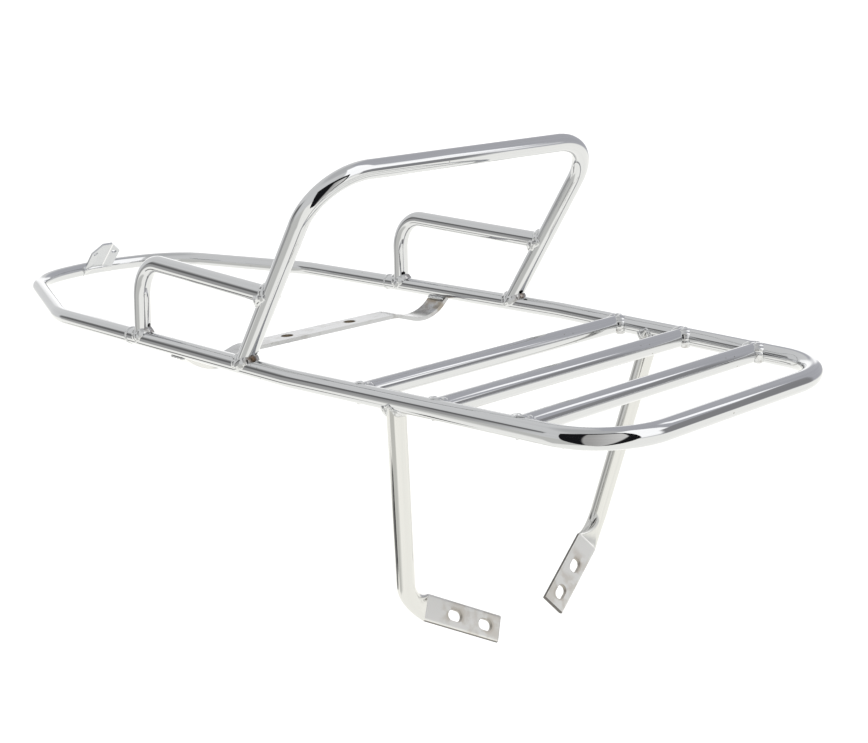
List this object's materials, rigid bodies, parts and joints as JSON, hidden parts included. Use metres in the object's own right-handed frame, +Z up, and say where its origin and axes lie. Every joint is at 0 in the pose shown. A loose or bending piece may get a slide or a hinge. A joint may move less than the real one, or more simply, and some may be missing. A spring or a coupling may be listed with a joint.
{
  "type": "motorcycle luggage rack",
  "caption": "Chromed steel tube luggage rack: a closed frame loop with a slatted rear deck, a grab hoop, side rails, slotted brace legs and a bolt-on strap.",
  "frame": {"origin": "middle of the mounting strap's two bolt holes, on the strap's underside", "axes": "+X to the nose of the loop, +Y to the left side, +Z up"},
  "size_m": [0.7662, 0.2574, 0.3188],
  "materials": {
    "chrome_tube": "bright chrome plate on round steel tube",
    "chrome_flat": "chrome plate on flat steel, a little duller than the tubes",
    "plated_weld": "weld bead plated over, lumpy, with brown heat tint in the corners"
  },
  "bodies": {
    "root": {"rear_frame_tube": "chrome_tube", "nose_frame_tube": "chrome_tube", "deck_bar_rear": "chrome_tube", "deck_bar_middle": "chrome_tube", "deck_bar_front": "chrome_tube", "grab_hoop": "chrome_tube", "left_side_rail": "chrome_tube", "right_side_rail": "chrome_tube", "left_leg": "chrome_tube", "right_leg": "chrome_tube", "mounting_strap": "chrome_flat", "nose_clip": "chrome_flat", "seam_welds": "plated_weld", "deck_bar_welds": "plated_weld", "hoop_foot_welds": "plated_weld", "rail_foot_welds": "plated_weld", "rail_end_welds": "plated_weld", "leg_welds": "plated_weld", "strap_welds": "plated_weld", "clip_welds": "plated_weld"}
  },
  "joints": []
}
